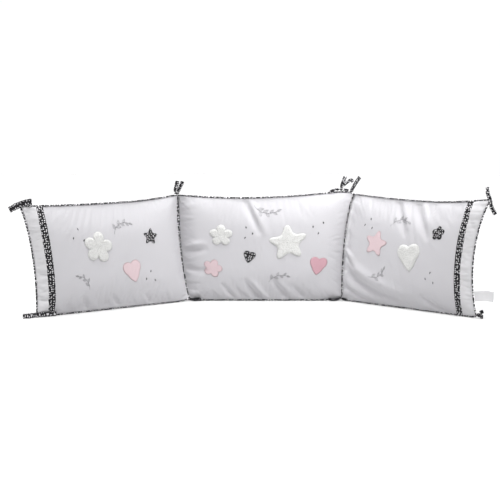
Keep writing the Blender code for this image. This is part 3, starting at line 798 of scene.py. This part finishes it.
def tape_material(name, color):
    """Ribbed satin tape, its colour dimmer in the troughs of its ribbing: painted shade."""
    material, tree, shader, place = plain_shader(name, 0.38, 0.1, 0.5)
    ribs_and_trough_shade = waves(tree, place, "X", Scale=700.0, Distortion=0.4)
    # Painted shade: the tape's colour drops to this tone in the troughs of its ribbing.
    dip_shade_tone = [part * 0.93 for part in color]
    dress(tree, shader, mixed(tree, ribs_and_trough_shade, dip_shade_tone, color), ribs_and_trough_shade, 0.2, 0.0002)
    return material


# ---------------------------------------------------------------- tubes, strips and stitches

def finished_piece(name, shape, material):
    """A smooth piece from a bmesh, with its normals outward."""
    bmesh.ops.recalc_face_normals(shape, faces=shape.faces)
    mesh = bpy.data.meshes.new(name)
    shape.to_mesh(mesh)
    shape.free()
    mesh.shade_smooth()
    mesh.materials.append(material)
    return new_object(name, mesh)


def tube(name, rings, flats, material, looped=False):
    """A tube through rings of points, its ends capped, or joined where it is a loop.

    flats holds the points' UV in metres, with one more column than the rings.
    """
    shape = bmesh.new()
    layer = shape.loops.layers.uv.new("UVMap")
    verts = [[shape.verts.new(point) for point in ring] for ring in rings]
    count = len(rings[0])
    for i in range(len(rings) - 1):
        for j in range(count):
            k = (j + 1) % count
            face = shape.faces.new((verts[i][j], verts[i][k], verts[i + 1][k], verts[i + 1][j]))
            places = flats[i][j], flats[i][j + 1], flats[i + 1][j + 1], flats[i + 1][j]
            for corner, flat in zip(face.loops, places):
                corner[layer].uv = flat
    if looped:
        bmesh.ops.remove_doubles(shape, verts=shape.verts, dist=1e-6)
    else:
        shape.faces.new(verts[0])
        shape.faces.new(verts[-1][::-1])
    return finished_piece(name, shape, material)


def turns(count):
    return [2 * math.pi * number / count for number in range(count)]


def smooth_through(points, steps):
    """Points on a smooth curve through the given ones, with steps to each stretch."""
    line = [Vector(point) for point in points]
    padded = [2 * line[0] - line[1], *line, 2 * line[-1] - line[-2]]
    curve = []
    for before, start, stop, after in zip(padded, padded[1:], padded[2:], padded[3:]):
        for step in range(steps):
            t = step / steps
            bend = (2 * before - 5 * start + 4 * stop - after) * t * t
            twist = (3 * start - before - 3 * stop + after) * t * t * t
            curve.append(start + ((stop - before) * t + bend + twist) / 2)
    return [*curve, line[-1]]


def runs_along(line):
    """How far along a line each of its points lies."""
    total = [0.0]
    for start, stop in zip(line, line[1:]):
        total.append(total[-1] + (stop - start).length)
    return total


def steps_across(line):
    """At each point of a line, the step from the point before it to the point after it."""
    return [after - before for before, after in zip([line[0], *line], [*line[1:], line[-1]])]


def strip_ring(middle, across, out, width, thickness, cup):
    """A ring round a strip: flat sides, round edges, and its middle cupped."""
    ring = []
    for turn in turns(STRIP_SIDES):
        x = math.copysign(abs(math.cos(turn)) ** STRIP_SQUARENESS, math.cos(turn))
        y = math.copysign(abs(math.sin(turn)) ** STRIP_SQUARENESS, math.sin(turn))
        bend = cup * (x * x - 0.5)
        ring.append(middle + across * (x * width / 2) + out * (y * thickness / 2 + bend))
    return ring


def make_strip(name, path, front, width, thickness, material, cup, curl, seed, steps=TIE_STEPS, pinch=0.0):
    """A strip of folded cloth along a smooth path, its flat side turned to the front."""
    line = smooth_through(path, steps)
    far = runs_along(line)
    rings, flats = [], []
    for middle, step, run_to in zip(line, steps_across(line), far):
        run = step.normalized()
        across = run.cross(front).normalized()
        out = across.cross(run).normalized()
        place = Vector((run_to * STRIP_WANDER, seed, 0))
        tilt = Matrix.Rotation(curl * noise.noise(place), 3, run)
        end = min(run_to, far[-1] - run_to)
        narrow = 1 - 0.10 * max(0.0, 1 - end / 0.0015) + 0.05 * noise.noise(place * 2.3)
        narrow -= pinch * math.exp(-run_to / PINCH_REACH)
        cupped = cup * (1 + 0.8 * noise.noise(place * 1.7 + Vector((0, 3, 0))))
        thin = thickness * (1 - 0.5 * max(0.0, 1 - end / 0.0008))
        rings.append(strip_ring(middle, tilt @ across, tilt @ out, width * narrow, thin, cupped))
        flats.append([(seed * 0.37 + run_to, seed * 0.11 + width * 2 * side / STRIP_SIDES)
                      for side in range(STRIP_SIDES + 1)])
    return tube(name, rings, flats, material)


def add_stitch(shape, start, stop, out, radius):
    """One stitch: a short thread from start to stop, lying on the cloth."""
    run = stop - start
    side = run.cross(out).normalized() * radius
    lift = out.normalized() * radius
    sections = []
    for share, swell in STITCH_SECTIONS:
        middle = start + run * share + lift * (swell - 0.6)
        sections.append([shape.verts.new(middle + (side * math.cos(turn) + lift * math.sin(turn)) * swell)
                         for turn in STITCH_TURNS])
    for first, second in zip(sections, sections[1:]):
        for j in range(4):
            shape.faces.new((first[j], first[(j + 1) % 4], second[(j + 1) % 4], second[j]))
    shape.faces.new(sections[0][::-1])
    shape.faces.new(sections[-1])


def place_piece(piece, slot, *nodes):
    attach(piece, "root")
    if nodes:
        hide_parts(*nodes)
    return piece


def sew(name, slot, stitches, thread):
    """One piece of stitches, each a start, a stop and the way out of the cloth."""
    shape = bmesh.new()
    for start, stop, out in stitches:
        add_stitch(shape, start, stop, out, THREAD_RADIUS[name.split("_")[0]])
    place_piece(finished_piece(name, shape, thread), slot)


# ---------------------------------------------------------------- piping

def piping_path(panel):
    """The middle of the piping: the seam moved outward, with a short arc round each corner."""
    steps_s, steps_v = np.linspace(0, 1, 201), np.linspace(0, 1, 131)
    front = panel_directions(panel)[1]
    away = SEAM_TO_PIPING - PIPING_INSET
    sides = []
    for s, v in ((steps_s, 0), (1, steps_v), (steps_s[::-1], 1), (0, steps_v[::-1])):
        points = [Vector(point) for point in seam_surface(panel, s, v)]
        sides.append((points, [step.cross(front).normalized() for step in steps_across(points)]))
    path = []
    for (points, outs), (next_points, next_outs) in zip(sides, [*sides[1:], sides[0]]):
        path += [point + out * away for point, out in zip(points, outs)]
        path += [next_points[0] + outs[-1].slerp(next_outs[0], step / 5) * away for step in range(1, 5)]
    return path


def make_piping(cushion, material):
    """A cord in a strip of cloth round the seam, a little uneven, flat where it stands."""
    panel, front = cushion.panel, cushion.front
    path = piping_path(panel)
    count = len(path)
    far = runs_along([*path, path[0]])
    around = [2 * math.pi * PIPING_RADIUS * side / PIPING_SIDES for side in range(PIPING_SIDES + 1)]
    rings, flats = [], []
    for index, middle in enumerate([*path, path[0]]):
        run = (path[(index + 1) % count] - path[(index - 1) % count]).normalized()
        out = run.cross(front).normalized()
        place = middle * PIPING_WANDER
        radius = PIPING_RADIUS * (1.14 + 0.20 * noise.noise(place * 1.6))
        sway = (front + out) * PIPING_SWAY * noise.noise(place * 0.45 + Vector((7, 0, 0)))
        ring = [middle + sway + (front * math.cos(turn) + out * math.sin(turn)) * radius
                for turn in turns(PIPING_SIDES)]
        for point in ring:
            point.z = max(point.z, 0.0)
        rings.append(ring)
        flats.append([(far[index], across) for across in around])
    piece = tube(f"cord_{panel.name}", rings, flats, material, looped=True)
    return place_piece(piece, "spotted", f"piping_{panel.name}")


# ---------------------------------------------------------------- bands and end strips

def band_reach(band, v, share):
    """How far in from the end seam a band is at v, with share 0 on its outer edge and 1 on its inner."""
    more = band.more_at_top * v ** EAR_SHARPNESS + band.more_at_foot * (1 - v) ** EAR_SHARPNESS
    return band.inset + more + share * band.width


def make_skin(cushion, name, near, far, material, thickness, ripple):
    """Cloth sewn on a panel's front, between two distances in from its end seam that depend on v."""
    width = far(0.5) - near(0.5)
    steps = max(2, round(width / SKIN_CELL))
    edge = EDGE_STEPS[-1][0]
    across = [*EDGE_STEPS]
    across += [(edge + (width - edge - edge) * step / steps, 1.0) for step in range(1, steps)]
    across += [(width - inset, lift) for inset, lift in reversed(EDGE_STEPS)]
    rings, flats = [], []
    for row in range(SKIN_ROWS + 1):
        v = SKIN_CLEAR + (1 - 2 * SKIN_CLEAR) * row / SKIN_ROWS
        top, under = [], []
        for place, lift in across:
            share = place / width
            wave = ripple * noise.noise(Vector((place * 60, v * 55, width * 90)))
            sway = EDGE_SWAY * noise.noise(Vector((width * 310 + (share > 0.5) * 5, v * 20, 1)))
            s = cushion.from_end(near(v) + (far(v) - near(v)) * share + sway)
            top.append(cushion.at(s, v, SEWN_GAP + (thickness + wave) * max(lift, 0))[0])
            under.append(cushion.at(s, v, UNDERSIDE)[0])
        rings.append(top + under[::-1])
        up = v * cushion.height
        flats.append([(place, up) for place, _ in across]
                     + [(place, up + UNDER_UV_STEP) for place, _ in reversed(across)] + [(0, up)])
    return tube(name, rings, flats, material)


def seam_stitches(cushion, reach):
    """A row of topstitching up a panel at a distance in from its end seam."""
    for row in range(int(cushion.height * 0.98 / TOPSTITCH_PITCH)):
        ends = []
        for up in (0, TOPSTITCH_LENGTH):
            v = 0.01 + (row * TOPSTITCH_PITCH + up) / cushion.height
            ends.append(cushion.at(cushion.from_end(reach(v)), v, TOPSTITCH_LIFT))
        yield ends[0][0], ends[1][0], ends[0][1]


# ---------------------------------------------------------------- sewn-on shapes

def turned_by(turn, right, up):
    """A step to the right and up, turned clockwise."""
    return right * math.cos(turn) + up * math.sin(turn), up * math.cos(turn) - right * math.sin(turn)


def outline_reach(outline, angle):
    """How far a shape of radius 1 reaches at an angle from straight up."""
    if outline == "star":
        return 0.76 + 0.20 * math.cos(5 * angle) + 0.04 * math.cos(10 * angle)
    if outline == "flower":
        return 0.58 + 0.42 * abs(math.cos(2.5 * angle)) ** 0.7
    side = abs((angle + math.pi) % (2 * math.pi) - math.pi) / math.pi
    return 0.56 + 0.50 * math.sin(math.pi * min(side * 1.45, 1)) ** 1.3 * (1 - side) + 0.44 * side ** 5


def on_motif(cushion, motif, angle, share, proud):
    """The place on the cloth that is a share of the way to a shape's edge, at an angle."""
    reach = share * outline_reach(motif.outline, angle) * motif.radius
    return cushion.near(motif.s, motif.v, *turned_by(angle + math.radians(motif.turn), 0, reach), proud)


def motif_lift(motif, angle, inset):
    """How far a shape stands off its panel at a distance in from its edge."""
    if motif.cloth == "plush":
        return PLUSH_THICKNESS * min(1, inset / PLUSH_EDGE) ** 0.45 * (0.92 + 0.08 * math.cos(2 * angle))
    return CLOTH_THICKNESS * float(smoothstep(inset / CLOTH_EDGE + 0.25))


def make_motif(cushion, motif, material):
    """A shape sewn on the front: raised and round-edged in plush, nearly flat in the other cloths."""
    plush = motif.cloth == "plush"
    sectors, count = (220, 34) if plush else (110, 12)
    shares = [(ring + 0.4) / (count + 0.4) for ring in range(count + 1)]
    if plush:
        shares = [1 - (1 - share) ** 1.25 for share in shares]
    rings, flats = [], []
    for share, top in [(share, True) for share in shares] + [(share, False) for share in shares[::-6]]:
        points, flat = [], []
        for angle in [*turns(sectors), 2 * math.pi]:
            edge = motif.radius * outline_reach(motif.outline, angle)
            flat.append((motif.s + share * edge * math.sin(angle), motif.v + share * edge * math.cos(angle)))
            proud = SEWN_GAP + motif_lift(motif, angle, (1 - share) * edge) if top else 2 * UNDERSIDE
            point, out = on_motif(cushion, motif, angle, share, proud)
            if plush and top:
                point += noise.noise_vector(point * 640) * 0.0006 + out * noise.noise(point * 300) * 0.0007
            points.append(point)
        rings.append(points[:-1])
        flats.append(flat)
    return tube(f"shape_{motif.name}", rings, flats, material)


def motif_size(motif):
    """The flat width, height and area of a shape."""
    angles = np.linspace(0, 2 * math.pi, 361)[:-1]
    reach = np.array([outline_reach(motif.outline, angle) for angle in angles]) * motif.radius
    turned = angles + math.radians(motif.turn)
    right, up = reach * np.sin(turned), reach * np.cos(turned)
    return float(np.ptp(right)), float(np.ptp(up)), float((reach ** 2).sum() * math.pi / 360)


def motif_stitches(cushion, motif):
    """Close stitches over the edge of a shape, each from just outside it to just inside."""
    angle = 0.0
    while angle < 2 * math.pi:
        reach = outline_reach(motif.outline, angle) * motif.radius
        ahead = outline_reach(motif.outline, angle + 0.01) * motif.radius
        speed = math.hypot(reach, (ahead - reach) / 0.01)
        start, out = on_motif(cushion, motif, angle, 1 + EDGING_OUTSIDE / reach, THREAD_LIFT)
        lean = 0.4 * EDGING_PITCH / speed
        stop = on_motif(cushion, motif, angle + lean, 1 - EDGING_INSIDE / reach, EDGING_HEIGHT)[0]
        yield start, stop, out
        angle += EDGING_PITCH / speed


# ---------------------------------------------------------------- embroidery

def line_stitches(cushion, mark, line, length):
    """Back stitches along a line of steps to the right of and up from a mark on the cloth."""
    far = [0.0]
    for start, stop in zip(line, line[1:]):
        far.append(far[-1] + math.hypot(stop[0] - start[0], stop[1] - start[1]))
    marks = np.linspace(0, far[-1], max(1, round(far[-1] / length)) + 1)
    rights, ups = (np.interp(marks, far, steps) for steps in zip(*line))
    ends = [cushion.near(mark.s, mark.v, right, up, THREAD_LIFT) for right, up in zip(rights, ups)]
    for (start, out), (stop, _) in zip(ends, ends[1:]):
        yield start, stop + (stop - start) * 0.12, out


def sprig_stitches(cushion, sprig):
    """A bent stem with leaves in outline, each with its vein, on alternate sides."""
    def stem(share):
        turn = math.radians(sprig.turn) + sprig.bend * (share - 0.5)
        return turned_by(turn, 0, sprig.length * (share - 0.5))

    def on_leaf(along, wide):
        right, up = turned_by(way, wide, along)
        return foot[0] + size * right, foot[1] + size * up

    yield from line_stitches(cushion, sprig, [stem(step / 24) for step in range(25)], STEM_STITCH)
    for number in range(sprig.leaves + 1):
        share = 0.22 + 0.78 * number / sprig.leaves
        foot, ahead = stem(share), stem(share + 0.02)
        way = math.atan2(ahead[0] - foot[0], ahead[1] - foot[1])
        if number < sprig.leaves:
            way += LEAF_TURN if number % 2 else -LEAF_TURN
        size = sprig.length * (0.25 - 0.09 * share)
        for side in (1, -1):
            edge = [on_leaf(step / 10, side * LEAF_WIDTH * math.sin(math.pi * (step / 10) ** 0.8))
                    for step in range(11)]
            yield from line_stitches(cushion, sprig, edge, LEAF_STITCH)
        yield from line_stitches(cushion, sprig, [on_leaf(along, 0) for along in (0, 0.4, 0.75)], STEM_STITCH)


def seed_stitches(cushion, seed):
    """A small leaf in satin stitch."""
    for row in range(SEED_STITCHES):
        along = SEED_LENGTH * (row / (SEED_STITCHES - 1) - 0.5)
        wide = SEED_WIDTH / 2 * math.sin(math.pi * (row + 0.6) / (SEED_STITCHES + 0.2)) ** 0.8
        (start, out), (stop, _) = (
            cushion.near(seed.s, seed.v, *turned_by(math.radians(seed.turn), side * wide, along), THREAD_LIFT)
            for side in (-1, 1))
        yield start, stop, out


# ---------------------------------------------------------------- ties, knots and label

def make_knot(knot, material):
    """A strip of cloth drawn tight in an overhand knot, within the size of the CAD's knot."""
    panel, corner = held_corner(knot)
    middle = held_point(panel, corner, (knot.along, knot.front, knot.up))
    half = Vector((knot.half_x, knot.half_y, knot.half_z))

    def path(step):
        t = 2 * math.pi * step / KNOT_STEPS
        loop = (math.sin(t) + 2 * math.sin(2 * t), 2.2 * math.sin(3 * t), math.cos(t) - 2 * math.cos(2 * t))
        return Vector(loop) * half * ((1 - KNOT_STRIP) / 3)

    rings, flats, total = [], [], 0.0
    for step in range(KNOT_STEPS + 1):
        point = path(step)
        run = (path(step + 1) - path(step - 1)).normalized()
        side = run.cross(point.normalized()).normalized()
        out = side.cross(run)
        ring = []
        for turn in turns(KNOT_SIDES):
            crimp = 1 + 0.10 * math.sin(3 * turn + step * 0.7)
            part = side * (math.cos(turn) * KNOT_STRIP_WIDE) + out * (math.sin(turn) * KNOT_STRIP_DEEP)
            place = middle + point + part * half * (KNOT_STRIP * crimp)
            place.z = max(place.z, FLOOR_GAP)
            ring.append(place)
        rings.append(ring)
        flats.append([(total, number * KNOT_UV_STEP) for number in range(KNOT_SIDES + 1)])
        total += (path(step + 1) - point).length
    piece = tube(f"tied_{knot.name[5:]}", rings, flats, material, looped=True)
    return place_piece(piece, "spotted", knot.name)


def make_label(material):
    """A blank doubled satin tape sewn into the right end seam."""
    panel = panel_named("right")
    along, front = panel_directions(panel)
    start = Vector(seam_surface(panel, 1.0, LABEL_V)) + along * LABEL_START
    path = [held_point(panel, start, step) for step in LABEL_PATH]
    return make_strip("tape", path, front, LABEL_HEIGHT, LABEL_THICKNESS, material, cup=0.0012, curl=0.10,
                      seed=40, steps=LABEL_STEPS)


# ---------------------------------------------------------------- camera and studio

def make_camera():
    camera = new_object("camera", bpy.data.cameras.new("camera"))
    camera.data.sensor_width = 36
    camera.data.lens = CAMERA_LENS
    rise = math.radians(CAMERA_RISE)
    back = Vector((0, -math.cos(rise), math.sin(rise)))
    camera.location = Vector(CAMERA_TARGET) + back * CAMERA_DISTANCE
    camera.rotation_euler = (math.pi / 2 - rise, 0, 0)
    scene.camera = camera


def make_light(name, kind, energy, **settings):
    light = bpy.data.lights.new(name, kind)
    light.energy = energy
    for key, value in settings.items():
        setattr(light, key, value)
    return new_object(name, light)


def make_stage():
    """A plain pale floor under a soft white sky that dims overhead."""
    bpy.ops.mesh.primitive_circle_add(vertices=96, radius=FLOOR_RADIUS, fill_type="NGON",
                                      location=(0, 0, -FLOOR_GAP))
    floor = bpy.context.active_object
    floor.name = "floor"
    material, tree, shader, place = plain_shader("floor", 0.9, 0, 0.1, solid=True)
    tone = mixed(tree, clouds(tree, place, Scale=4.0), *FLOOR_TONES)
    tree.links.new(tone, shader.inputs["Base Color"])
    floor.data.materials.append(material)
    world = bpy.data.worlds.new("studio")
    scene.world = world
    world.use_nodes = True
    tree = world.node_tree
    way = add(tree, "ShaderNodeTexCoord").outputs["Generated"]
    height = add(tree, "ShaderNodeSeparateXYZ", {"Vector": way}).outputs["Z"]
    sky = tree.nodes["Background"]
    tree.links.new(in_range(tree, height, **SKY), sky.inputs["Strength"])
    sky.inputs["Color"].default_value = (1, 1, 1, 1)
    scene.view_settings.view_transform = "Standard"
    for sun in SUNS:
        lamp = make_light(sun.name, "SUN", sun.energy, angle=math.radians(sun.softness))
        lamp.rotation_euler = [math.radians(part) for part in sun.turn]
    for box in SOFTBOXES:
        lamp = make_light(box.name, "AREA", box.energy, shape="SQUARE", size=box.side,
                          spread=math.radians(box.spread))
        lamp.location = box.place
        lamp.rotation_euler = (Vector(box.target) - lamp.location).to_track_quat("-Z", "Y").to_euler()
        lamp.visible_camera = False


# ---------------------------------------------------------------- build

make_camera()
make_stage()

shell = cloth_material("shell", (0.504, 0.497, 0.518), (0.484, 0.477, 0.497), roughness=0.5)
# The end strips are the panels' own cloth; their colour, lighter than the shell's, is painted light.
lit_strip_cloth = cloth_material("end_strip", (0.56, 0.555, 0.57), (0.54, 0.535, 0.55), roughness=0.6)
spotted = spotted_material("spotted", 0.0080, (0.67, 0.66, 0.68), 0.18, 0.27)
piped = spotted_material("piped", 0.0105, (0.78, 0.77, 0.79), 0.18, 0.28)
folded = spotted_material("folded", 0.0064, (0.66, 0.65, 0.67), 0.18, 0.29)
# A dimmer copy of the spotted print, with smaller spots, for the knots and the ties at the feet: painted
# shade.
knotted = spotted_material("knotted", 0.0060, (0.50, 0.49, 0.51), 0.05, 0.17)
# The plush's second colour is the painted shade between its tufts.
plush = plush_material("plush", (0.66, 0.66, 0.65), (0.52, 0.52, 0.51))
coarse = {"roughness": 0.8, "sheen": 0.25, "threads": 1300, "relief": 0.3}
pink = cloth_material("pink", (0.61, 0.485, 0.505), (0.58, 0.455, 0.48), **coarse)
rose = cloth_material("rose", (0.53, 0.32, 0.36), (0.50, 0.29, 0.335), **coarse)
white_thread = thread_material("white_thread", (0.62, 0.62, 0.61))
pink_thread = thread_material("pink_thread", (0.56, 0.40, 0.425))
black_thread = thread_material("black_thread", (0.02, 0.02, 0.022))
grey_thread = thread_material("grey_thread", (0.16, 0.16, 0.17))
tape = tape_material("label", (0.66, 0.655, 0.67))
cloths = {"plush": (plush, white_thread, "plush"), "pink": (pink, pink_thread, "pink"),
          "rose": (rose, pink_thread, "pink"), "spotted": (spotted, black_thread, "spotted")}

cushions = {panel.name: Cushion(panel) for panel in PANELS}
for cushion in cushions.values():
    cushion.make()
for step in range(1, FRAMES + 1):
    scene.frame_set(step)
for name, cushion in cushions.items():
    cushion.settle()
    cushion.piece.data.materials.append(shell)
    place_piece(cushion.piece, "shell", f"panel_{name}")
    make_piping(cushion, piped)

for band in BANDS:
    cushion = cushions[band.panel]
    edges = [partial(band_reach, band, share=share) for share in (0, 1)]
    strip = make_skin(cushion, f"facing_{band.panel}", lambda v: FACING_START,
                      lambda v: edges[0](v) + FACING_UNDER, lit_strip_cloth, thickness=0.0010, ripple=0.0012)
    place_piece(strip, "end_strip", f"end_strip_{band.panel}")
    ribbon = make_skin(cushion, f"ribbon_{band.panel}", *edges, spotted, thickness=0.0013, ripple=0.0008)
    place_piece(ribbon, "spotted", f"band_{band.panel}")
    rows = [seam_stitches(cushion, partial(band_reach, band, share=share)) for share in TOPSTITCH_SHARES]
    sew(f"topstitch_{band.panel}", "spotted", chain(*rows), black_thread)

for motif in MOTIFS:
    cushion = cushions[motif.panel]
    material, thread, slot = cloths[motif.cloth]
    piece = place_piece(make_motif(cushion, motif, material), slot, motif.name)
    width, height, area = motif_size(motif)
    sew(f"edging_{motif.name}", slot, motif_stitches(cushion, motif), thread)

for name, cushion in cushions.items():
    sprigs = [sprig_stitches(cushion, sprig) for sprig in SPRIGS[name]]
    sew(f"sprigs_{name}", "shell", chain(*sprigs), grey_thread)
    seeds = [seed_stitches(cushion, seed) for seed in SEEDS[name]]
    sew(f"seeds_{name}", "shell", chain(*seeds), black_thread)

for number, tie in enumerate(TIES):
    panel, corner = held_corner(tie)
    path = [held_point(panel, corner, step) for step in tie.path]
    length = runs_along(smooth_through(path, TIE_STEPS))[-1]
    pinch = TIE_PINCH if PINCHED_FROM < length < PINCHED_TO else 0.0
    # Ties at the feet of the middle and right panels take the dimmer, shaded copy of the print: painted
    # shade.
    cloth = folded if tie.level == "top" or tie.panel == "left" else knotted
    front = panel_directions(panel)[1]
    piece = make_strip(f"strap_{tie.name[4:]}", path, front, tie.width, TIE_THICKNESS, cloth, cup=0.0006,
                       curl=0.4, seed=number, pinch=pinch)
    place_piece(piece, "spotted", tie.name)
for knot in KNOTS:
    make_knot(knot, knotted)
label = place_piece(make_label(tape), "label", "label")
